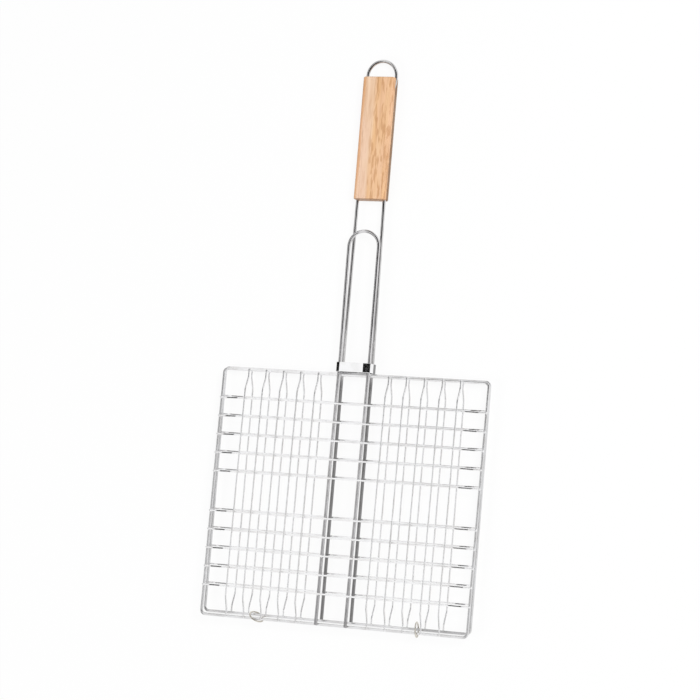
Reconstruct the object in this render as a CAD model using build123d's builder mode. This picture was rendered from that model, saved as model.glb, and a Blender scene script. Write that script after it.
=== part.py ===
"""Hinged wire grill basket with a wooden grip.

Two shallow dished grids of welded wire face each other.  The lower one carries the
long handle with the grip and the hanging loop, the upper one a short handle loop.
Two loose rings join them at the far end, and a flat band slides along the handle
and holds all four handle wires together.

Millimetres.  +Y runs from the ring hinge to the hanging loop, +Z is up, and the
closed basket lies on its lower grid and its grip.  The origin is the middle of the
closed basket's footprint.
"""

import os
from math import atan2, cos, degrees, hypot, radians, sin

from build123d import *

# ---- wire stock ----------------------------------------------------------------
RIM_WIRE = 3.0
LEG_WIRE = 3.6
MESH_WIRE = 1.9
RING_WIRE = 1.7
WIRE_SIDES = 10

# ---- the two grids -------------------------------------------------------------
RIM_WIDTH = 300.0
RIM_LENGTH = 260.0
RIM_CORNER = 6.0
LONG_BORDER = 30.0
LONG_PITCH = 20.0
LONG_WIRES_PER_SIDE = 5
CROSS_BORDER = 30.0
CROSS_PITCH = 19.7
CROSS_WIRES_PER_SIDE = 5
WIRE_LIP = 8.0
WIRE_RAMP = 13.0
WIRE_END = 1.0
WELD_GAP = 0.02

# ---- how the upper grid lies on the lower one ----------------------------------
UPPER_RIM_LENGTH = 262.6
RIM_CLEARANCE = 0.3
HINGE_RISE = 8.5
UPPER_SETBACK = 3.8

# ---- handle wires --------------------------------------------------------------
LEG_SPACING = 33.4
FOOT_LENGTH = 2.5
UPPER_LOOP_REACH = 151.0
UPPER_LOOP_LEAD = 18.0
UPPER_LOOP_BEND = 60.0
LEG_BEND_START = 15.0
LEG_BEND = 90.0
GRIP_LEAD = 5.0
WIRE_SPACING_IN_GRIP = 30.2
HANGING_LOOP_LEAD = 1.5
HANGING_LOOP_WIDTH = 32.4
FLARE_LENGTH = 13.0
FLARE_LEAD = 1.5
FLARE_BEND = 30.0

# ---- wooden grip ---------------------------------------------------------------
GRIP_START = 185.5
GRIP_LENGTH = 131.7
GRIP_WIDTH = 36.0
GRIP_THICKNESS = 15.5
GRIP_CORNER = 4.5
GRIP_END_ROUND = 1.8
GROOVE_CLEARANCE = 0.05

# ---- sliding clip --------------------------------------------------------------
CLIP_START = 1.9
CLIP_WIDTH = 10.0
CLIP_WALL = 1.0
CLIP_CLEARANCE = 0.3
CLIP_SEAM = 0.6

# ---- hinge rings ---------------------------------------------------------------
RING_BORE = 13.7
RING_PLAY = 0.3
RING_TURN = 58.0
TURNED_RING_SLIDE = 2.5

# ---- worked out from the sizes above -------------------------------------------
rim_radius = RIM_WIRE / 2
leg_radius = LEG_WIRE / 2
mesh_radius = MESH_WIRE / 2
ring_radius = (RING_BORE + RING_WIRE) / 2
leg_x = LEG_SPACING / 2

# Layers outwards from the middle of a rim: legs, then cross wires, then long wires.
edge_depth = rim_radius + WELD_GAP + mesh_radius
leg_depth = rim_radius + WELD_GAP + leg_radius
cross_depth = leg_depth + leg_radius + WELD_GAP + mesh_radius
long_depth = cross_depth + MESH_WIRE + WELD_GAP
rim_z = long_depth + mesh_radius

# The line from the lower far rim to the upper far rim, which the rings follow.
rim_distance = hypot(UPPER_SETBACK, HINGE_RISE)
link_along = Vector(0, -UPPER_SETBACK, HINGE_RISE) / rim_distance
link_across = Vector(0, HINGE_RISE, UPPER_SETBACK) / rim_distance
ring_seat = ring_radius - (RING_WIRE + RIM_WIRE) / 2 - RING_PLAY
ring_shift = (ring_seat**2 - (rim_distance / 2) ** 2) ** 0.5

# The footprint's middle in Y, from the ring's outer edge to the hanging loop's.
ring_middle = link_along * (rim_distance / 2) + link_across * ring_shift
near_reach = ring_radius + RING_WIRE / 2 - ring_middle.Y
loop_x = HANGING_LOOP_WIDTH / 2
loop_reach = GRIP_START + GRIP_LENGTH + HANGING_LOOP_LEAD + loop_x
far_reach = RIM_LENGTH + loop_reach + leg_radius
hinge_y = (near_reach - far_reach) / 2
handle_rim_y = hinge_y + RIM_LENGTH

# Each grid's plane: x across, y from the ring hinge to the handle, z outwards.
handle_rise = RIM_WIRE + RIM_CLEARANCE
upper_tilt = atan2(HINGE_RISE - handle_rise, UPPER_RIM_LENGTH)
lower_grid = Plane((0, hinge_y, rim_z), x_dir=(-1, 0, 0), z_dir=(0, 0, -1))
upper_hinge = Vector(0, hinge_y, rim_z) + link_along * rim_distance
upper_grid = Plane(upper_hinge, x_dir=(1, 0, 0), z_dir=(0, sin(upper_tilt), cos(upper_tilt)))


def save(piece, name):
    """Label one finished piece and write it to its own file."""
    piece.label = name
    export_step(piece, f"parts/{name}.step")


def wire_section(radius):
    """The round wire's section, as a polygon with its corners on the wire's surface."""
    return RegularPolygon(radius, WIRE_SIDES)


def rim(grid, length):
    """A rim: one round wire bent to a rectangle and butt welded."""
    across = RIM_WIDTH / 2
    with BuildPart() as frame:
        with BuildLine(grid) as path:
            FilletPolyline(
                (-across, 0), (-across, length), (across, length), (across, 0),
                radius=RIM_CORNER,
                close=True,
            )
        with BuildSketch(Plane(path.line @ 0, z_dir=path.line % 0)):
            wire_section(rim_radius)
        sweep()
    return frame.part


def dished_wire(plane, half_span, depth):
    """A mesh wire: flat over both rims, ramped out to its own layer between them."""
    ramp_top = half_span - WIRE_LIP
    ramp_foot = ramp_top - WIRE_RAMP
    with BuildPart() as wire:
        with BuildLine(plane) as path:
            Polyline(
                (-half_span - WIRE_END, edge_depth),
                (-ramp_top, edge_depth),
                (-ramp_foot, depth),
                (ramp_foot, depth),
                (ramp_top, edge_depth),
                (half_span + WIRE_END, edge_depth),
            )
        with BuildSketch(Plane(path.line @ 0, z_dir=path.line % 0)):
            wire_section(mesh_radius)
        sweep(transition=Transition.RIGHT)
    return wire.part


def spread(outermost, pitch, count):
    """Places of a row of wires on both sides of the middle, from one side to the other."""
    one_side = [outermost - pitch * step for step in range(count)]
    return [-place for place in one_side] + one_side[::-1]


def grid_wires(grid, length, half):
    """All the mesh wires of one grid, numbered from -X and from the ring hinge."""
    long_places = spread(RIM_WIDTH / 2 - LONG_BORDER, LONG_PITCH, LONG_WIRES_PER_SIDE)
    for number, across in enumerate(long_places, start=1):
        middle = grid.from_local_coords((across * grid.x_dir.X, length / 2, 0))
        wire_plane = Plane(middle, x_dir=grid.y_dir, z_dir=grid.x_dir)
        save(dished_wire(wire_plane, length / 2, long_depth), f"{half}_long_wire_{number}")
    cross_places = spread(RIM_LENGTH / 2 - CROSS_BORDER, CROSS_PITCH, CROSS_WIRES_PER_SIDE)
    for number, along in enumerate(cross_places, start=1):
        middle = grid.from_local_coords((0, length / 2 + along, 0))
        wire_plane = Plane(middle, x_dir=grid.x_dir, z_dir=-grid.y_dir)
        save(dished_wire(wire_plane, RIM_WIDTH / 2, cross_depth), f"{half}_cross_wire_{number}")


os.makedirs("parts", exist_ok=True)

# ---- grids ---------------------------------------------------------------------
save(rim(lower_grid, RIM_LENGTH), "lower_rim")
save(rim(upper_grid, UPPER_RIM_LENGTH), "upper_rim")
grid_wires(lower_grid, RIM_LENGTH, "lower")
grid_wires(upper_grid, UPPER_RIM_LENGTH, "upper")

# ---- main handle: one wire from the far rim, up through the grip and back --------
leg_z = rim_z - leg_depth
grip_z = GRIP_THICKNESS / 2
grip_y = handle_rim_y + GRIP_START
grip_wire_x = WIRE_SPACING_IN_GRIP / 2
loop_top_y = handle_rim_y + loop_reach
loop_start_y = loop_top_y - loop_x
flare_end_y = loop_start_y - FLARE_LEAD
one_leg = [
    (leg_x, hinge_y - FOOT_LENGTH, leg_z),
    (leg_x, handle_rim_y + LEG_BEND_START, leg_z),
    (grip_wire_x, grip_y - GRIP_LEAD, grip_z),
    (grip_wire_x, flare_end_y - FLARE_LENGTH, grip_z),
    (loop_x, flare_end_y, grip_z),
    (loop_x, loop_start_y, grip_z),
]
other_leg = [(-x, y, z) for x, y, z in reversed(one_leg)]
leg_bends = [LEG_BEND, LEG_BEND, FLARE_BEND, FLARE_BEND]

with BuildPart() as main_handle_wire:
    with BuildLine() as handle_path:
        FilletPolyline(*one_leg, radius=leg_bends)
        ThreePointArc(one_leg[-1], (0, loop_top_y, grip_z), other_leg[0])
        FilletPolyline(*other_leg, radius=leg_bends[::-1])
    with BuildSketch(Plane(one_leg[0], z_dir=(0, 1, 0))):
        wire_section(leg_radius)
    sweep()
save(main_handle_wire.part, "main_handle_wire")

# ---- short handle loop of the upper grid: along the grid, then level to its end ----
upper_foot = upper_grid.from_local_coords((leg_x, -FOOT_LENGTH, leg_depth))
upper_bend = upper_grid.from_local_coords((leg_x, UPPER_RIM_LENGTH + UPPER_LOOP_LEAD, leg_depth))
upper_loop_y = handle_rim_y + UPPER_LOOP_REACH
upper_leg_end = Vector(leg_x, upper_loop_y - leg_x, upper_bend.Z)
one_leg = [tuple(point) for point in (upper_foot, upper_bend, upper_leg_end)]
other_leg = [(-x, y, z) for x, y, z in reversed(one_leg)]

with BuildPart() as upper_handle_loop:
    with BuildLine():
        FilletPolyline(*one_leg, radius=UPPER_LOOP_BEND)
        ThreePointArc(one_leg[-1], (0, upper_loop_y, upper_bend.Z), other_leg[0])
        FilletPolyline(*other_leg, radius=UPPER_LOOP_BEND)
    with BuildSketch(Plane(one_leg[0], z_dir=upper_grid.y_dir)):
        wire_section(leg_radius)
    sweep()
save(upper_handle_loop.part, "upper_handle_loop")

# ---- wooden grip: a rounded bar with a sawn groove along each side ------------------
groove_width = LEG_WIRE + 2 * GROOVE_CLEARANCE
groove_depth = (GRIP_WIDTH - WIRE_SPACING_IN_GRIP + groove_width) / 2
grip_end = Plane((0, grip_y, grip_z), x_dir=(1, 0, 0), z_dir=(0, 1, 0))

with BuildPart() as wooden_grip:
    with BuildSketch(grip_end):
        RectangleRounded(GRIP_WIDTH, GRIP_THICKNESS, GRIP_CORNER)
    extrude(amount=GRIP_LENGTH)
    end_faces = wooden_grip.faces().filter_by(Axis.Y)
    fillet(end_faces.edges(), radius=GRIP_END_ROUND)
    with BuildSketch(grip_end):
        with Locations((-GRIP_WIDTH / 2, 0), (GRIP_WIDTH / 2, 0)):
            Rectangle(2 * groove_depth, groove_width)
    extrude(amount=GRIP_LENGTH, mode=Mode.SUBTRACT)
save(wooden_grip.part, "wooden_grip")

# ---- sliding clip: a flat band closed round the four handle wires ------------------
clip_middle_y = handle_rim_y + CLIP_START + CLIP_WIDTH / 2
upper_leg_drop = (clip_middle_y - upper_hinge.Y) * sin(upper_tilt) / cos(upper_tilt)
upper_leg_z = upper_hinge.Z + leg_depth / cos(upper_tilt) - upper_leg_drop
clip_z = (leg_z + upper_leg_z) / 2
clip_bore_radius = leg_radius + CLIP_CLEARANCE
clip_bore_width = LEG_SPACING + 2 * clip_bore_radius
clip_bore_height = upper_leg_z - leg_z + 2 * clip_bore_radius
clip_face = Plane(
    (0, handle_rim_y + CLIP_START, clip_z), x_dir=(1, 0, 0), z_dir=(0, 1, 0)
)

with BuildPart() as slide_clip:
    with BuildSketch(clip_face):
        RectangleRounded(
            clip_bore_width + 2 * CLIP_WALL,
            clip_bore_height + 2 * CLIP_WALL,
            clip_bore_radius + CLIP_WALL,
        )
        RectangleRounded(
            clip_bore_width, clip_bore_height, clip_bore_radius, mode=Mode.SUBTRACT
        )
        with Locations((0, clip_bore_height / 2 + CLIP_WALL / 2)):
            Rectangle(CLIP_SEAM, 2 * CLIP_WALL, mode=Mode.SUBTRACT)
    extrude(amount=CLIP_WIDTH)
save(slide_clip.part, "slide_clip")

# ---- hinge rings: loose wire rings round both far rims -----------------------------
lower_hinge = Vector(0, hinge_y, rim_z)
ring_x = RIM_WIDTH / 2 - LONG_BORDER - 1.5 * LONG_PITCH
turn = radians(RING_TURN)


def hinge_ring(ring_place, shift, turned):
    """One ring, between two long wires, turned about the line that joins the rims."""
    middle = lower_hinge + Vector(ring_place, 0, 0) + link_along * (rim_distance / 2)
    axis = Vector(cos(turned), 0, 0) + link_across * sin(turned)
    section_plane = Plane(middle + link_across * shift, x_dir=link_along, z_dir=axis.cross(link_along))
    with BuildPart() as ring:
        with BuildSketch(section_plane):
            with Locations((ring_radius, 0)):
                wire_section(RING_WIRE / 2)
        revolve(axis=Axis(section_plane.origin, axis))
    return ring.part


save(hinge_ring(ring_x, ring_shift, 0), "hinge_ring_right")
save(hinge_ring(TURNED_RING_SLIDE - ring_x, 0, turn), "hinge_ring_left")

# ---- travel ------------------------------------------------------------------------
ring_swing = 180 - degrees(atan2(HINGE_RISE, -UPPER_SETBACK))
lid_swing = 180 + degrees(upper_tilt) - ring_swing
clip_travel = GRIP_START - CLIP_START - CLIP_WIDTH - CLIP_CLEARANCE
print("lower hinge axis, y z", round(hinge_y, 4), round(rim_z, 4))
print("upper hinge axis, y z", round(upper_hinge.Y, 4), round(upper_hinge.Z, 4))
print("ring swing, lid swing", round(ring_swing, 3), round(lid_swing, 3))
print("clip travel", round(clip_travel, 3))
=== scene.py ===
"""Looks of a hinged wire grill basket: plated wire grids, a wooden grip, a sliding clip."""

from math import atan2, ceil, cos, pi, radians, sin, sqrt, tan

import bpy
import numpy as np
from mathutils import Euler, Matrix, Vector, noise


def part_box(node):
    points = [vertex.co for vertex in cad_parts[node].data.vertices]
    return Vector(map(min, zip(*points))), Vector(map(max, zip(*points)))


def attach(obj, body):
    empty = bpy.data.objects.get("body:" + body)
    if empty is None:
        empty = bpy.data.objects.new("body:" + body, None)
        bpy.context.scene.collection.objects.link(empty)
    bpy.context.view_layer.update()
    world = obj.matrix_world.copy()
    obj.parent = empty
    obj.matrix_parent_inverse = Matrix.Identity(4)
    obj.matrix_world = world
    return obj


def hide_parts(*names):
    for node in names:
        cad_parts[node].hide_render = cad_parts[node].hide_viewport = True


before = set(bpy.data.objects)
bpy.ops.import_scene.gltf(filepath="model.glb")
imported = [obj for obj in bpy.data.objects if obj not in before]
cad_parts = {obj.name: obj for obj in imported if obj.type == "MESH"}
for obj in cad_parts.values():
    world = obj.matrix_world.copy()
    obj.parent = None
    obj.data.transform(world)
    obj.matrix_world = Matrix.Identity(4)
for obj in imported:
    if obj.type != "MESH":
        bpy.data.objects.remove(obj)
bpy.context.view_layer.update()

# ---- The two rims ---------------------------------------------------------------------------
# Each grid starts as one 3 mm steel wire bent round to a rectangle, its ends butt welded on
# the near side and dressed off, then plated with the whole grid. The far sides hang in the
# two loose rings, so those sides are the hinge.

mm = 0.001
RIM_RADIUS = 1.5 * mm
RIM_CORNER = 4.5 * mm
RIM_WELD_X = 62 * mm
RIM_BEAD = (1.2 * mm, 1.56 * mm, 1.56 * mm)

rim_low, rim_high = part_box("lower_rim")
across = (rim_high.x - rim_low.x) / 2 - RIM_RADIUS
far_y, near_y = rim_low.y + RIM_RADIUS, rim_high.y - RIM_RADIUS
rim_z = (rim_low.z + rim_high.z) / 2
upper_low, upper_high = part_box("upper_rim")
upper_run = Vector((upper_high - upper_low).yz) - Vector((2 * RIM_RADIUS, 2 * RIM_RADIUS))
upper_tilt = atan2(upper_run.y, upper_run.x)
upper_far = Vector((0, upper_low.y + RIM_RADIUS, upper_high.z - RIM_RADIUS))

# A grid's own axes: x across, y from the rings to the handle, z outwards to its mesh.
lower_grid = Matrix.Translation((0, far_y, rim_z)) @ Matrix.Diagonal((1, 1, -1, 1))
upper_grid = Matrix.Translation(upper_far) @ Matrix.Rotation(-upper_tilt, 4, "X")
grids = (("lower", lower_grid, near_y - far_y), ("upper", upper_grid, upper_run.length))


def bent(corners, radii, step=2.5 * mm, closed=False):
    """Points along a wire: straight runs between corners, with each corner an arc."""
    facet = radians(7)
    corners = [Vector(c) for c in corners]
    count = len(corners)
    inner = range(count) if closed else range(1, count - 1)
    if not isinstance(radii, (list, tuple)):
        radii = [radii] * len(inner)
    points = [] if closed else [corners[0]]
    for radius, n in zip(radii, inner):
        corner = corners[n]
        back = (corners[n - 1] - corner).normalized()
        on = (corners[(n + 1) % count] - corner).normalized()
        turn = pi - back.angle(on)
        reach = radius * tan(turn / 2)
        middle = corner + (back + on).normalized() * (radius / cos(turn / 2))
        start, end = corner + back * reach - middle, corner + on * reach - middle
        steps = max(3, ceil(turn / facet))
        for k in range(steps + 1):
            part = k / steps
            spoke = start * sin((1 - part) * turn) + end * sin(part * turn)
            points.append(middle + spoke / sin(turn))
    points.append(points[0].copy() if closed else corners[-1])
    spaced = [points[0]]
    for a, b in zip(points, points[1:]):
        runs = max(1, ceil((b - a).length / step))
        spaced += [a.lerp(b, k / runs) for k in range(1, runs + 1)]
    return spaced[:-1] if closed else spaced


def tube(points, radius, sides, closed=False, end_round=0.35 * mm):
    """Vertices and faces of a round wire along points, its cut ends slightly rounded."""
    path = np.array([tuple(p) for p in points])
    ahead = np.roll(path, -1, 0) - path
    behind = path - np.roll(path, 1, 0)
    if not closed:
        ahead[-1], behind[0] = behind[-1], ahead[0]
    way = ahead / np.linalg.norm(ahead, axis=1)[:, None]
    way += behind / np.linalg.norm(behind, axis=1)[:, None]
    way /= np.linalg.norm(way, axis=1)[:, None]
    side = np.cross(way[0], (0, 0, 1) if abs(way[0][2]) < 0.9 else (1, 0, 0))
    sides_of = []
    for direction in way:
        side = side - direction * (side @ direction)
        side /= np.linalg.norm(side)
        sides_of.append(side)
    sides_of = np.array(sides_of)
    turns = np.zeros(len(path))
    if closed:
        drift = np.cross(way[0], sides_of[-1])
        twist = atan2(-drift @ sides_of[0], sides_of[-1] @ sides_of[0])
        turns = np.linspace(0, twist, len(path))
    rings = []
    for p, s, u, turn in zip(path, sides_of, np.cross(way, sides_of), turns):
        angle = np.linspace(0, 2 * pi, sides, endpoint=False) + turn
        rings.append(p + radius * (np.cos(angle)[:, None] * s + np.sin(angle)[:, None] * u))
    if not closed:
        for at, outwards in ((0, -1), (-1, 1)):
            out = outwards * way[at] * end_round
            whole = rings[at] - path[at]
            caps = []
            for lean in (pi / 8, pi / 4, pi * 3 / 8, pi / 2):
                shrink = 1 - end_round / radius * (1 - cos(lean))
                caps.append(path[at] + whole * shrink + out * (sin(lean) - 1))
            rings[at] = rings[at] - out
            rings = caps[::-1] + rings if at == 0 else rings + caps
    count = len(rings)
    faces = []
    for r in range(count if closed else count - 1):
        here, there = r * sides, (r + 1) % count * sides
        for k in range(sides):
            n = (k + 1) % sides
            faces.append((here + k, here + n, there + n, there + k))
    if not closed:
        faces.append(tuple(range(sides))[::-1])
        faces.append(tuple(range((count - 1) * sides, count * sides)))
    return np.concatenate(rings), faces


def bead(centre, size, seed):
    """A bead of weld metal: a small lump, longer one way, with an uneven skin."""
    rows, columns = 6, 10
    unevenness, lumps_round = 0.12, 1.7
    verts = [centre + Vector((0, 0, -size[2]))]
    for r in range(1, rows):
        for c in range(columns):
            lean, turn = pi * r / rows, 2 * pi * c / columns
            way = Vector((sin(lean) * cos(turn), sin(lean) * sin(turn), -cos(lean)))
            skin = 1 + unevenness * noise.noise(way * lumps_round + Vector((seed, 0, 0)))
            verts.append(centre + Vector([w * s * skin for w, s in zip(way, size)]))
    verts.append(centre + Vector((0, 0, size[2])))
    faces = [(0, 1 + (c + 1) % columns, 1 + c) for c in range(columns)]
    for r in range(rows - 2):
        for c in range(columns):
            a, b = 1 + r * columns + c, 1 + r * columns + (c + 1) % columns
            faces.append((a, b, b + columns, a + columns))
    top, last = len(verts) - 1, 1 + (rows - 2) * columns
    faces += [(top, last + c, last + (c + 1) % columns) for c in range(columns)]
    return np.array([tuple(v) for v in verts]), faces


def solid_piece(name, lumps, material, node, body):
    """One mesh object from several lumps, standing for its CAD node on its body."""
    verts, faces = [], []
    for lump, lump_faces in lumps:
        start = len(verts)
        verts += np.asarray(lump).tolist()
        faces += [tuple(start + i for i in face) for face in lump_faces]
    mesh = bpy.data.meshes.new(name)
    mesh.from_pydata(verts, [], faces)
    mesh.polygons.foreach_set("use_smooth", [True] * len(mesh.polygons))
    mesh.set_sharp_from_angle(angle=radians(50))
    mesh.materials.append(material)
    obj = bpy.data.objects.new(name, mesh)
    bpy.context.scene.collection.objects.link(obj)
    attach(obj, body)
    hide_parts(node)


class Socket:
    """One output of a node, so that sums on it read as plain sums."""

    def __init__(self, nodes, link):
        self.nodes, self.link = nodes, link

    def maths(self, operation, first, second):
        settings = {"operation": operation}
        return self.nodes.node("ShaderNodeMath", settings, {0: first, 1: second})

    def __add__(self, other):
        return self.maths("ADD", self, other)

    def __radd__(self, other):
        return self.maths("ADD", other, self)

    def __sub__(self, other):
        return self.maths("SUBTRACT", self, other)

    def __rsub__(self, other):
        return self.maths("SUBTRACT", other, self)

    def __mul__(self, other):
        return self.maths("MULTIPLY", self, other)

    def __rmul__(self, other):
        return self.maths("MULTIPLY", other, self)

    def above(self, low, high):
        """0 below low, 1 above high, smooth between."""
        settings = {"interpolation_type": "SMOOTHSTEP"}
        values = {"Value": self, "From Min": low, "From Max": high}
        return self.nodes.node("ShaderNodeMapRange", settings, values)


class Nodes:
    """A node tree, of a material or of the world."""

    def __init__(self, tree):
        self.tree = tree

    def join(self, socket, value):
        """Gives a socket a link, a colour or a number."""
        if isinstance(value, Socket):
            self.tree.links.new(value.link, socket)
        elif socket.type == "RGBA":
            socket.default_value = (*value, 1)
        else:
            socket.default_value = value

    def node(self, kind, settings=None, sockets=None, out=0):
        """Adds any node: its type, its settings, then what its sockets take."""
        made = self.tree.nodes.new(kind)
        for key, value in (settings or {}).items():
            if key == "stops":
                ramp = made.color_ramp.elements
                while len(ramp) < len(value):
                    ramp.new(0.5)
                for stop, (place, colour) in zip(ramp, value):
                    stop.position, stop.color = place, (*colour, 1)
            else:
                setattr(made, key, value)
        for key, value in (sockets or {}).items():
            self.join(made.inputs[key], value)
        return Socket(self, made.outputs[out])


class Finish(Nodes):
    """A material, with the ways in which its colours and bumps are worked out."""

    def __init__(self, name, **constants):
        self.material = bpy.data.materials.new(name)
        self.material.use_nodes = True
        super().__init__(self.material.node_tree)
        self.shader = self.tree.nodes["Principled BSDF"]
        self.feed(**constants)

    def feed(self, **sockets):
        for key, value in sockets.items():
            self.join(self.shader.inputs[key.replace("_", " ")], value)

    def place(self):
        return self.node("ShaderNodeTexCoord", out="Object")

    def along(self, axis):
        """The place's distance along one axis, in metres."""
        return self.node("ShaderNodeSeparateXYZ", None, {0: self.place()}, out=axis)

    def spread(self, scale, detail=2.0, x=1, y=1, z=1):
        """Noise whose grains are 1 / scale metres, drawn out along an axis below 1."""
        at = self.node("ShaderNodeMapping", None, {"Vector": self.place(), "Scale": (x, y, z)})
        return self.node("ShaderNodeTexNoise", None,
                         {"Vector": at, "Scale": scale, "Detail": detail})

    def blend(self, part, first, second):
        """The first colour where part is 0, the second where it is 1."""
        return self.node("ShaderNodeMix", {"data_type": "RGBA"},
                         {0: part, 6: first, 7: second}, out=2)

    def bump(self, height, strength, deep):
        return self.node("ShaderNodeBump", None,
                         {"Strength": strength, "Distance": deep, "Height": height})


def shaded(colour, part):
    return tuple(c * part for c in colour)


def plating(name, bright, dull, roughness, pits_per_metre, bump=0.10, painted_shade=None):
    """Nickel-chrome on drawn wire: patches of haze, drawing lines and tiny pits.

    The last argument gives the part of the surface that is darkened with painted shade.
    """
    finish = Finish(name, Metallic=1.0)
    haze = finish.spread(60, 3.0)
    grain = finish.spread(900)
    pits = finish.spread(pits_per_metre, 1.0).above(0.66, 0.74)
    stain = finish.spread(28, 4.0).above(0.58, 0.78)
    worn = finish.blend(haze.above(0.35, 0.7), bright, dull)
    worn = finish.blend(stain * 0.3, worn, shaded(dull, 0.66))
    skin = finish.blend(pits * 0.4, worn, shaded(dull, 0.5))
    # Painted shade: where the last argument gives it, the plating turns to a dim copy of its
    # bright colour.
    if painted_shade:
        skin = finish.blend(painted_shade(finish), skin, shaded(bright, 0.15))
    finish.feed(
        Base_Color=skin,
        Roughness=haze * 0.12 + grain * 0.08 + stain * 0.12 + (roughness - 0.12),
        Normal=finish.bump(grain + haze * 0.5 - pits * 1.2, bump, 0.2 * mm),
    )
    return finish.material


def rim_painted_shade(finish):
    """Painted shade: darker on the long sides, paler towards the near end, darker at the far end,
    most at its lower right, and darkest on the near rim under the clip, between the legs.
    """
    x, y, z = finish.along("X"), finish.along("Y"), finish.along("Z")
    sides = (x * x).above((across - 8 * mm) ** 2, (across - 2 * mm) ** 2)
    sides_paler = 1 - y.above(-90 * mm, -50 * mm) * 0.6
    far_end = (1 - y.above(far_y + 2 * mm, far_y + 8 * mm)) * (1 - sides)
    low_right = (1 - z.above(rim_z + 2 * mm, rim_z + 4 * mm)) * x.above(70 * mm, 95 * mm)
    between_legs = 1 - (x * x).above((14 * mm) ** 2, (17 * mm) ** 2)
    # Painted shade on the near rim under the clip, between the handle legs.
    under_clip = y.above(near_y - 1 * mm, near_y) * between_legs
    return sides * sides_paler * 0.22 + far_end * (low_right * 0.3 + 0.14) + under_clip * 0.55


# The rims' plating, with painted shade on its sides, its far end and under the clip.
rim_plate = plating("rim_plate", bright=(0.90, 0.90, 0.91), dull=(0.80, 0.79, 0.79),
                    roughness=0.18, pits_per_metre=1400, painted_shade=rim_painted_shade)

for half, grid, length in grids:
    corners = [(-across, 0, 0), (-across, length, 0), (across, length, 0), (across, 0, 0)]
    loop = bent([grid @ Vector(c) for c in corners], RIM_CORNER, closed=True)
    weld = bead(grid @ Vector((RIM_WELD_X, length, 0)), RIM_BEAD, seed=3)
    solid_piece(f"{half}_rim_wire", [tube(loop, RIM_RADIUS, 24, closed=True), weld], rim_plate,
                f"{half}_rim", f"{half}_half")

# ---- Mesh wires -----------------------------------------------------------------------------
# Thin plated wires, resistance welded to the rims and to each other where they cross. A press
# dishes each one: it lies flat over the rims, then ramps out to its own layer, cross wires
# over the handle's legs and long wires over the cross wires.

MESH_RADIUS = 0.94 * mm
MESH_BEND = 5 * mm
MESH_SWAY = (0.12 * mm, 0.12 * mm, 0.02 * mm)
WAVE_SEED = 1
LEG_RADIUS = 1.8 * mm
LEG_X = 16.7 * mm
SEAT = 0.02 * mm
LIP, RAMP, BEYOND = 8 * mm, 13 * mm, 1 * mm
CROSSING_BEAD = (1.15 * mm, 1.15 * mm, 0.55 * mm)
LONG_END_BEAD = (1.5 * mm, 1.2 * mm, 0.6 * mm)
LEG_BEAD = (1.3 * mm, 1.5 * mm, 0.6 * mm)
CROSS_END_BEAD = (1.2 * mm, 1.5 * mm, 0.6 * mm)

edge_depth = RIM_RADIUS + SEAT + MESH_RADIUS
leg_depth = RIM_RADIUS + SEAT + LEG_RADIUS
cross_depth = leg_depth + LEG_RADIUS + SEAT + MESH_RADIUS
long_depth = cross_depth + 2 * MESH_RADIUS + SEAT


def two_fives(outer, pitch):
    """Places of ten wires, five on each side of a wide gap in the middle."""
    one_side = [-(outer - pitch * n) for n in range(5)]
    return one_side + [-place for place in one_side[::-1]]


long_at = two_fives(120 * mm, 20 * mm)
cross_at = two_fives(100 * mm, 19.7 * mm)


# noise_vector is seeded from the clock unless this is set, and the waves would be new each run.
noise.seed_set(WAVE_SEED)


def wavy(points, sway, seed):
    """The small unevenness of hand-straightened wire, none at its two ends."""
    waves_per_metre, seed_apart, held_points = 22, 7.3, 6
    last = len(points) - 1
    moved = []
    for n, p in enumerate(points):
        hold = min(1, n / held_points, (last - n) / held_points)
        place = Vector((p.x * waves_per_metre, p.y * waves_per_metre, seed * seed_apart))
        drift = noise.noise_vector(place)
        moved.append(p + Vector([d * s * hold for d, s in zip(drift, sway)]))
    return moved


def dished(half_span, depth):
    """Corners of a dished wire as (place along it, depth)."""
    foot = half_span - LIP - RAMP
    one_end = [(-half_span - BEYOND, edge_depth), (-half_span + LIP, edge_depth), (-foot, depth)]
    return one_end + [(-at, down) for at, down in one_end[::-1]]


mesh_plate = plating("mesh_plate", bright=(0.94, 0.94, 0.95), dull=(0.87, 0.86, 0.86),
                     roughness=0.19, pits_per_metre=2200)


def mesh_wire(node, corners, beads, seed, half):
    """One dished wire with its weld beads, each as (place, size, seed)."""
    wire = wavy(bent(corners, MESH_BEND), MESH_SWAY, seed)
    lumps = [tube(wire, MESH_RADIUS, 16)] + [bead(*weld) for weld in beads]
    solid_piece(node + "_drawn", lumps, mesh_plate, node, f"{half}_half")


for half, grid, length in grids:
    first_seed = 20 if half == "upper" else 0
    for number, x in enumerate(long_at, start=1):
        seed = first_seed + number
        corners = [grid @ Vector((x, length / 2 + at, down))
                   for at, down in dished(length / 2, long_depth)]
        beads = [(grid @ Vector((x, length / 2 + y, cross_depth + MESH_RADIUS)),
                  CROSSING_BEAD, seed + y * 900) for y in cross_at]
        beads += [(grid @ Vector((x, y, RIM_RADIUS)), LONG_END_BEAD, seed + y * 70)
                  for y in (0, length)]
        mesh_wire(f"{half}_long_wire_{number}", corners, beads, seed, half)
    for number, place in enumerate(cross_at, start=1):
        seed = first_seed + number + 60
        y = length / 2 + place
        corners = [grid @ Vector((at, y, down)) for at, down in dished(across, cross_depth)]
        beads = [(grid @ Vector((x, y, leg_depth + LEG_RADIUS)), LEG_BEAD, seed + x * 70)
                 for x in (-LEG_X, LEG_X)]
        beads += [(grid @ Vector((x, y, RIM_RADIUS)), CROSS_END_BEAD, seed + x * 70)
                  for x in (-across, across)]
        mesh_wire(f"{half}_cross_wire_{number}", corners, beads, seed, half)

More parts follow.
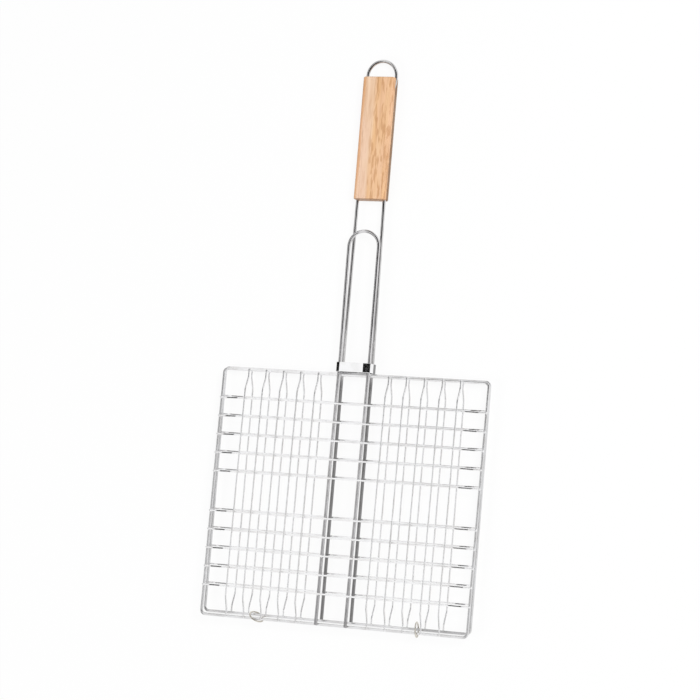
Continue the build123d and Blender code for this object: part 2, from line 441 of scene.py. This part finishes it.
# ---- Main handle wire -----------------------------------------------------------------------
# One 3.6 mm wire from the far rim along the lower grid, up into the grip's grooves and round
# the hanging loop, then back down the other side. It is welded under every cross wire and
# over both sides of the rim. The hanging loop was bent a little off the middle.

FOOT = 1.0 * mm
LEG_RUN_ON = 15 * mm
LEG_BEND = 90 * mm
GRIP_LEAD = 5 * mm
GRIP_WIRE_X = 15.1 * mm
HANGING_LOOP_X = 16.2 * mm
HANGING_LOOP_LEAD = 1.5 * mm
HANGING_LOOP_SHIFT = 1.1 * mm
SHIFT_INSIDE_GRIP, SHIFT_RUN = 16 * mm, 14 * mm
FLARE, FLARE_BEND = 13 * mm, 30 * mm
HANDLE_BEAD = (2.0 * mm, 1.5 * mm, 0.8 * mm)

grip_low, grip_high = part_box("wooden_grip")
grip_z = (grip_low.z + grip_high.z) / 2
leg_z = rim_z - leg_depth
loop_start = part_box("main_handle_wire")[1].y - LEG_RADIUS - HANGING_LOOP_X
flare_end = loop_start - HANGING_LOOP_LEAD


def both_legs(leg, radii, end_x, end_y, end_z):
    """A leg on +x, a half circle in the level plane, and the same leg on -x."""
    steps = 28
    right = bent(leg, radii)
    left = [Vector((-p.x, p.y, p.z)) for p in right[::-1]]
    turns = [pi * k / steps for k in range(steps + 1)]
    half_round = [Vector((end_x * cos(t), end_y + end_x * sin(t), end_z)) for t in turns]
    return right[:-1] + half_round + left[1:]


def handle_painted_shade(finish):
    """Painted shade: darker along the grid, and bright from the near rim on."""
    return (1 - finish.along("Y").above(near_y - 12 * mm, near_y + 2 * mm)) * 0.66


# The handle's plating, with painted shade along the grid.
leg_plate = plating("leg_plate", bright=(0.68, 0.67, 0.67), dull=(0.56, 0.55, 0.55),
                    roughness=0.14, pits_per_metre=1200, bump=0.04, painted_shade=handle_painted_shade)

main_leg = [
    (LEG_X, far_y - FOOT, leg_z),
    (LEG_X, near_y + LEG_RUN_ON, leg_z),
    (GRIP_WIRE_X, grip_low.y - GRIP_LEAD, grip_z),
    (GRIP_WIRE_X, flare_end - FLARE, grip_z),
    (HANGING_LOOP_X, flare_end, grip_z),
    (HANGING_LOOP_X, loop_start, grip_z),
]
handle_path = both_legs(main_leg, [LEG_BEND, LEG_BEND, FLARE_BEND, FLARE_BEND],
                        HANGING_LOOP_X, loop_start, grip_z)
for p in handle_path:
    past = min(1, max(0, (p.y - grip_high.y + SHIFT_INSIDE_GRIP) / SHIFT_RUN))
    p.x += HANGING_LOOP_SHIFT * past * past * (3 - 2 * past)
handle_lumps = [tube(wavy(handle_path, (0.10 * mm, 0, 0.05 * mm), seed=5), LEG_RADIUS, 24)]
for x in (-LEG_X, LEG_X):
    for y in (far_y, near_y):
        at = Vector((x, y, rim_z - RIM_RADIUS))
        handle_lumps.append(bead(at, HANDLE_BEAD, seed=x * 900 + y))
solid_piece("main_handle_drawn", handle_lumps, leg_plate, "main_handle_wire", "lower_half")

# ---- Short handle loop ----------------------------------------------------------------------
# The upper grid's own handle: a U of the same wire, welded under its cross wires. It runs out
# level above the main handle and ends short of the grip, so that the clip can slide off over
# its round end, which was bent a little to the left and a little wide.

SHORT_LOOP_LEAD = 18 * mm
SHORT_LOOP_BEND = 60 * mm
SHORT_LOOP_LONGER = 0.7 * mm
SHORT_LOOP_SHIFT, SHORT_LOOP_SPREAD = 0.68 * mm, 0.0105
SPREAD_START, SPREAD_RUN = 20 * mm, 100 * mm

loop_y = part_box("upper_handle_loop")[1].y - LEG_RADIUS - LEG_X + SHORT_LOOP_LONGER
loop_bend = upper_grid @ Vector((LEG_X, upper_run.length + SHORT_LOOP_LEAD, leg_depth))
short_leg = [upper_grid @ Vector((LEG_X, -FOOT, leg_depth)), loop_bend,
             (LEG_X, loop_y, loop_bend.z)]
loop_path = both_legs(short_leg, SHORT_LOOP_BEND, LEG_X, loop_y, loop_bend.z)
for p in loop_path:
    past = min(1, max(0, (p.y - near_y - SPREAD_START) / SPREAD_RUN))
    p.x += (SHORT_LOOP_SPREAD * p.x - SHORT_LOOP_SHIFT) * past
short_sway = (0.10 * mm, 0.03 * mm, 0.05 * mm)
loop_lumps = [tube(wavy(loop_path, short_sway, seed=9), LEG_RADIUS, 24)]
for x in (-LEG_X, LEG_X):
    for y in (0, upper_run.length):
        at = upper_grid @ Vector((x, y, RIM_RADIUS))
        loop_lumps.append(bead(at, HANDLE_BEAD, seed=x * 700 + y))


def loop_painted_shade(finish):
    """Painted shade: darkest at the far rim, fading towards the near one."""
    return (1 - finish.along("Y").above(far_y - 60 * mm, near_y)) * 0.45


# The loop's plating, with painted shade towards the far rim.
loop_plate = plating("loop_plate", bright=(0.72, 0.71, 0.72), dull=(0.60, 0.59, 0.59),
                     roughness=0.14, pits_per_metre=1300, bump=0.04, painted_shade=loop_painted_shade)
solid_piece("short_handle_drawn", loop_lumps, loop_plate, "upper_handle_loop", "upper_half")

# ---- Wooden grip ----------------------------------------------------------------------------
# A sanded bar of pale hardwood with rounded corners. A groove is sawn along each narrow side,
# and the handle wire is sprung into both grooves, which is all that holds it.

GRIP_CORNER = 4.5 * mm
LEAST_CORNER = 1 * mm
END_ROUND = 1.8 * mm
GROOVE_LIP = 0.35 * mm
GROOVE_CORNER = 0.3 * mm

half_width = (grip_high.x - grip_low.x) / 2
half_thick = (grip_high.z - grip_low.z) / 2
grip_long = grip_high.y - grip_low.y
groove_half = LEG_RADIUS + 0.05 * mm
groove_floor = GRIP_WIRE_X - groove_half


def grip_outline(inset):
    """One side's outline, from the top's middle round to the bottom's middle."""
    flat_steps, corner_steps = 10, 8
    wide, thick = half_width - inset, half_thick - inset
    corner = max(GRIP_CORNER - inset, LEAST_CORNER)
    points = [((wide - corner) * k / flat_steps, thick) for k in range(flat_steps)]
    for k in range(corner_steps + 1):
        turn = pi / 2 * (1 - k / corner_steps)
        points.append((wide - corner + corner * cos(turn), thick - corner + corner * sin(turn)))
    points += [
        (wide, groove_half + GROOVE_LIP),
        (wide - GROOVE_LIP * 0.3, groove_half + GROOVE_LIP * 0.3),
        (wide - GROOVE_LIP, groove_half),
        ((wide + groove_floor) / 2, groove_half),
        (groove_floor + GROOVE_CORNER, groove_half),
        (groove_floor, groove_half - GROOVE_CORNER),
        (groove_floor, 0),
    ]
    return points + [(x, -z) for x, z in points[-2::-1]]


leans = [pi / 2 * k / 8 for k in range(9)]
near_end = [(END_ROUND * (1 - sin(lean)), END_ROUND * (1 - cos(lean))) for lean in leans]
far_end = [(inset, grip_long - y) for inset, y in near_end[::-1]]
runs = 60
middle = [(0, END_ROUND + (grip_long - 2 * END_ROUND) * k / runs) for k in range(1, runs)]
grip_verts = []
for inset, y in near_end + middle + far_end:
    outline = grip_outline(inset)
    outline += [(-x, z) for x, z in outline[-2:0:-1]]
    grip_verts += [(x, grip_low.y + y, grip_z + z) for x, z in outline]
around = len(outline)
grip_faces = []
for here in range(0, len(grip_verts) - around, around):
    for k in range(around):
        a, b = here + k, here + (k + 1) % around
        grip_faces.append((a, a + around, b + around, b))
grip_faces.append(tuple(range(around)))
grip_faces.append(tuple(range(len(grip_verts) - around, len(grip_verts)))[::-1])


def pale_wood():
    """Long pale grain with darker streaks and short open pores, and painted shade along the
    grooves.
    """
    finish = Finish("pale_wood", Specular_IOR_Level=0.35)
    x, y, z = finish.along("X"), finish.along("Y"), finish.along("Z")
    broad = finish.spread(75, 3.0, y=0.12)
    streak = finish.spread(270, 3.0, y=0.07)
    thin = finish.spread(800, y=0.03).above(0.57, 0.68)
    pore = finish.spread(1500, y=0.03).above(0.60, 0.72)
    fleck = finish.spread(430, y=0.16).above(0.50, 0.62)
    tones = [(0.34, (0.52, 0.27, 0.12)), (0.44, (0.74, 0.44, 0.24)),
             (0.52, (0.86, 0.55, 0.33)), (0.64, (0.93, 0.66, 0.44))]
    wood = finish.node("ShaderNodeValToRGB", {"stops": tones}, {0: broad * 0.45 + streak * 0.55})
    pink = finish.spread(60, 3.0, y=0.2).above(0.44, 0.58)
    wood = finish.blend(pink * 0.5, wood, (0.88, 0.56, 0.41))
    amber = finish.spread(95, x=1.3, y=0.15).above(0.56, 0.66)
    wood = finish.blend(amber * 0.4, wood, (0.80, 0.45, 0.19))
    # Sawn across the rings: a dark left edge, a pale band, then figured wood.
    across_grip = x + broad * 5 * mm - 2.5 * mm
    rayed = across_grip.above(-5 * mm, 1 * mm)
    band = across_grip.above(-15 * mm, -13 * mm) * (1 - rayed)
    wood = finish.blend(band * 0.4, wood, (0.86, 0.66, 0.52))
    wood = finish.blend((1 - band - rayed) * 0.55, wood, (0.80, 0.40, 0.18))
    wood = finish.blend(rayed * 0.35, wood, (0.88, 0.54, 0.28))
    wood = finish.blend(fleck * (rayed * 0.6 + 0.15), wood, (0.62, 0.33, 0.16))
    wood = finish.blend(thin * 0.4 + pore * 0.35, wood, (0.52, 0.27, 0.12))
    # Painted shade along the lower lip of each groove, and end grain at the near end.
    # Painted shade: the side below each groove is painted dark grey-brown.
    below_wire = 1 - z.above(grip_z - 0.5 * mm, grip_z + 2.2 * mm)
    below_wire = below_wire * z.above(grip_z - 6.5 * mm, grip_z - 4.8 * mm)
    edge = (x * x).above((half_width - 2.5 * mm) ** 2, (half_width - 0.8 * mm) ** 2)
    wood = finish.blend(edge * below_wire * 0.68, wood, (0.15, 0.12, 0.10))
    end = 1 - y.above(grip_low.y + 0.4 * mm, grip_low.y + 1.6 * mm)
    finish.feed(
        Base_Color=finish.blend(end * 0.6, wood, (0.28, 0.15, 0.09)),
        Roughness=streak * 0.2 + pore * 0.15 + 0.42,
        Normal=finish.bump(streak - pore * 0.8 + broad * 0.5, 0.25, 0.3 * mm),
    )
    return finish.material


solid_piece("sawn_grip", [(grip_verts, grip_faces)], pale_wood(), "wooden_grip", "lower_half")

# ---- Sliding clip ---------------------------------------------------------------------------
# A strip of bright sheet steel folded round the four handle wires until its ends meet
# underneath. It slides along them and, pushed to the grids, clamps the basket shut. Its front
# is pressed down a little where it bends over each pair of wires.

STRIP = 0.45 * mm
CLIP_CORNER = 1.1 * mm
SEAM_HALF = 0.3 * mm
RIGHT_PRESS_X, RIGHT_PRESS = 11.2 * mm, radians(8.5)
LEFT_PRESS_X, LEFT_PRESS = 15.4 * mm, radians(11)
FRONT_AT = (18.4, 17.0, 15.6, 15.3, 13.0, 11.4, 11.0, 8.0, 4.0, 0)

clip_low, clip_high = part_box("slide_clip")
clip_wide, clip_tall = (clip_high.x - clip_low.x) / 2, (clip_high.z - clip_low.z) / 2
clip_z = (clip_low.z + clip_high.z) / 2


def pressed(x):
    """How far the front is pressed down at a place across it."""
    right, left = max(x - RIGHT_PRESS_X, 0), max(-x - LEFT_PRESS_X, 0)
    return right * tan(RIGHT_PRESS) + left * tan(LEFT_PRESS)


def strip_section(inset):
    """The strip's section from one end of the seam round to the other."""
    base_steps, corner_steps = 8, 6
    wide, tall, corner = clip_wide - inset, clip_tall - inset, CLIP_CORNER - inset
    base = wide - corner - SEAM_HALF
    points = [(SEAM_HALF + base * k / base_steps, -tall) for k in range(base_steps)]
    for start, up in ((-90, -1), (0, 1)):
        for k in range(corner_steps + 1):
            turn = radians(start + 90 * k / corner_steps)
            points.append((wide - corner + corner * cos(turn),
                           up * (tall - corner) + corner * sin(turn)))
    points += [(x * mm, tall) for x in FRONT_AT]
    points += [(-x, z) for x, z in points[-2::-1]]
    return [(x, z - pressed(x) * min(1, max(0, z / tall))) for x, z in points]


EDGE, HOLD = 0.18 * mm, 0.45 * mm
# The strip's edge, from its outside over the rounded cut to its inside: (depth, inward).
profile = [(0, HOLD), (0, EDGE), (EDGE * 0.3, EDGE * 0.3), (EDGE, 0), (STRIP - EDGE, 0),
           (STRIP, EDGE), (STRIP, HOLD)]
clip_rings = []
for way, start in ((1, clip_low.y), (-1, clip_high.y)):
    for depth, inward in profile[::-way]:
        section = strip_section(depth)
        clip_rings.append([(x, start + way * inward, clip_z + z) for x, z in section])
span = len(clip_rings[0])
clip_verts = [p for ring in clip_rings for p in ring]
clip_faces = []
for r in range(len(clip_rings)):
    here, there = r * span, (r + 1) % len(clip_rings) * span
    for k in range(span - 1):
        clip_faces.append((here + k, here + k + 1, there + k + 1, there + k))
clip_faces.append(tuple(range(0, len(clip_verts), span)))
clip_faces.append(tuple(range(span - 1, len(clip_verts), span))[::-1])


def bright_strip():
    """Bright rolled steel: nearly a mirror, with fine rubs where it slides, and a painted dark
    reflection low on its right side.
    """
    finish = Finish("bright_strip", Metallic=1.0)
    rub = finish.spread(500, 3.0, y=0.05)
    haze = finish.spread(80, 3.0)
    plain = finish.blend(haze.above(0.4, 0.7), (0.95, 0.95, 0.96), (0.88, 0.88, 0.88))
    # Painted reflection: the lower half of the right side is painted near black.
    side = finish.along("X").above(18.8 * mm, 19.0 * mm)
    under = 1 - finish.along("Z").above(clip_z - 0.8 * mm, clip_z + 0.2 * mm)
    finish.feed(
        Base_Color=finish.blend(side * under * 0.9, plain, (0.10, 0.10, 0.10)),
        Roughness=rub.above(0.5, 0.8) * 0.05 + haze * 0.03 + 0.03,
        Normal=finish.bump(rub + haze, 0.012, 0.2 * mm),
    )
    return finish.material


solid_piece("folded_clip", [(clip_verts, clip_faces)], bright_strip(), "slide_clip",
            "slide_clip")

# ---- Hinge rings ----------------------------------------------------------------------------
# Two small rings of thin plated wire, closed and welded round both far rims. They hang loose,
# so the right one leans and the left one lies turned, and they carry a faint brassy tint from
# the welding heat.

RING_RADIUS, RING_WIRE = 7.7 * mm, 0.85 * mm
RING_PLAY = 0.3 * mm
RIGHT_RING_X, RIGHT_RING_LEAN = 93.5 * mm, radians(9)
LEFT_RING_X, LEFT_RING_TURN = -87.5 * mm, radians(58)
RING_STEPS, RING_WELD_AT = 72, 40
RING_BEAD = (0.95 * mm, 0.95 * mm, 0.95 * mm)

ring_plate = plating("ring_plate", bright=(0.74, 0.71, 0.65), dull=(0.54, 0.50, 0.44),
                     roughness=0.22, pits_per_metre=2000)
link = upper_far - Vector((0, far_y, rim_z))
link_along = link.normalized()
link_across = Vector((0, link_along.z, -link_along.y))
level = Vector((1, 0, 0))
seat = RING_RADIUS - RING_WIRE - RIM_RADIUS - RING_PLAY
ring_shift = sqrt(seat**2 - (link.length / 2) ** 2)
for side, x, shift, lean, turned in (
    ("right", RIGHT_RING_X, ring_shift, RIGHT_RING_LEAN, 0),
    ("left", LEFT_RING_X, 0, 0, LEFT_RING_TURN),
):
    middle = Vector((x, far_y, rim_z)) + link / 2 + link_across * shift
    up = link_along * cos(lean) + level * sin(lean)
    axis = (level * cos(lean) - link_along * sin(lean)) * cos(turned) + link_across * sin(turned)
    out = axis.cross(up)
    turns = [2 * pi * k / RING_STEPS for k in range(RING_STEPS)]
    circle = [middle + RING_RADIUS * (cos(turn) * up + sin(turn) * out) for turn in turns]
    weld = bead(circle[RING_WELD_AT], RING_BEAD, seed=8)
    solid_piece(f"{side}_ring_wire", [tube(circle, RING_WIRE, 14, closed=True), weld], ring_plate,
                f"hinge_ring_{side}", f"hinge_ring_{side}")

# ---- Floor, light and camera ----------------------------------------------------------------
# A plain white sheet of card under two soft boxes. Black cards that only the shiny metal
# sees stand round it and draw the dark lines in its shine, as they do on a product table.
# The camera looks down from above and to the right.


def flat(name, corners, material):
    """A stage piece of one face."""
    mesh = bpy.data.meshes.new(name)
    mesh.from_pydata(corners, [], [(0, 1, 2, 3)])
    mesh.materials.append(material)
    obj = bpy.data.objects.new(name, mesh)
    bpy.context.scene.collection.objects.link(obj)
    return obj


def rays(nodes):
    """Two values: 1 for the camera's own rays, and 1 for those off metal or through glass."""
    seen, mirrored, through = [nodes.node("ShaderNodeLightPath", out=f"Is {kind} Ray")
                               for kind in ("Camera", "Glossy", "Transmission")]
    return seen, mirrored + through


FLOOR_HALF, FLOOR_Z = 6, -0.05 * mm
FLOOR_SEEN_GLOW = 0.9
ROOM_LIGHT = 0.45

sheet = Finish("white_floor", Base_Color=(0.95, 0.95, 0.95), Roughness=0.9)
seen, mirrored = rays(sheet)
glow = sheet.node("ShaderNodeEmission", None, {"Strength": 1.0})
lit = Socket(sheet, sheet.shader.outputs[0])
floor_look = sheet.node("ShaderNodeMixShader", None,
                        {0: seen * FLOOR_SEEN_GLOW + mirrored, 1: lit, 2: glow})
sheet.join(sheet.tree.nodes["Material Output"].inputs["Surface"], floor_look)
floor = flat("floor", [(x * FLOOR_HALF, y * FLOOR_HALF, 0)
                       for x, y in ((-1, -1), (1, -1), (1, 1), (-1, 1))], sheet.material)
floor.location.z = FLOOR_Z

world = bpy.data.worlds.new("studio")
bpy.context.scene.world = world
world.use_nodes = True
room = Nodes(world.node_tree)
seen, mirrored = rays(room)
backdrop = room.tree.nodes["Background"]
room.join(backdrop.inputs["Color"], (1, 1, 1))
room.join(backdrop.inputs["Strength"], (seen + mirrored) * (1 - ROOM_LIGHT) + ROOM_LIGHT)


def lamp(name, place, size, power):
    """A square soft box aimed at the basket."""
    data = bpy.data.lights.new(name, "AREA")
    data.shape, data.size, data.energy = "SQUARE", size, power
    obj = bpy.data.objects.new(name, data)
    obj.location = place
    obj.rotation_euler = (-Vector(place)).to_track_quat("-Z", "Y").to_euler()
    obj.visible_glossy = False
    bpy.context.scene.collection.objects.link(obj)


lamp("key", (1.7, 0.5, 2.4), 1.2, 47)
lamp("fill", (-1.5, -1.2, 2.3), 1.6, 22)


def dark_card(name, x, y, z):
    """A black card along y, between two places in x and z, that only the metal sees."""
    black = Finish(name + "_black", Roughness=1.0, Base_Color=(0.01, 0.01, 0.01))
    card = flat(name, [(x[0], y[0], z[0]), (x[1], y[0], z[1]), (x[1], y[1], z[1]),
                       (x[0], y[1], z[0])], black.material)
    card.visible_camera = card.visible_diffuse = card.visible_shadow = False
    card.visible_transmission = False


def far_card(name, lean, y, away=2.4):
    """A card between two angles from straight up, towards +x, seen from the basket."""
    turn = [radians(a) for a in lean]
    dark_card(name, [away * sin(a) for a in turn], y, [away * cos(a) for a in turn])


far_card("overhead_card", (-2, 20), (-4, 4))
far_card("left_card", (-62, -44), (-0.9, 0.9))
far_card("left_far_card", (-84, -44), (-3.0, -0.9))
far_card("left_near_card", (-84, -44), (0.9, 3.0))
far_card("handle_card", (-10, 52), (0.165, 1.5), 2.35)
far_card("handle_left_card", (-72, -40), (0.165, 0.9), 2.35)
dark_card("hanging_loop_card", (-0.046, 0.20), (0.15, 0.322), (0.12, 0.12))
dark_card("short_loop_card", (-0.065, 0.248), (0.0245, 0.1475), (0.24, 0.24))
dark_card("clip_card", (-0.10, 0.06), (-0.005, 0.050), (0.5, 0.5))
dark_card("clip_left_card", (-0.95, -0.38), (-0.02, 0.10), (0.5, 0.5))

lens = bpy.data.cameras.new("camera")
lens.sensor_width, lens.lens, lens.clip_end = 36, 145.4731, 30
camera = bpy.data.objects.new("camera", lens)
camera.location = (1.110974, far_y + 0.054667, 2.762847)
camera.rotation_euler = Euler((radians(6.37705), radians(21.67181), radians(5.18052)), "XYZ")
bpy.context.scene.collection.objects.link(camera)
bpy.context.scene.camera = camera
bpy.context.scene.view_settings.view_transform = "Standard"
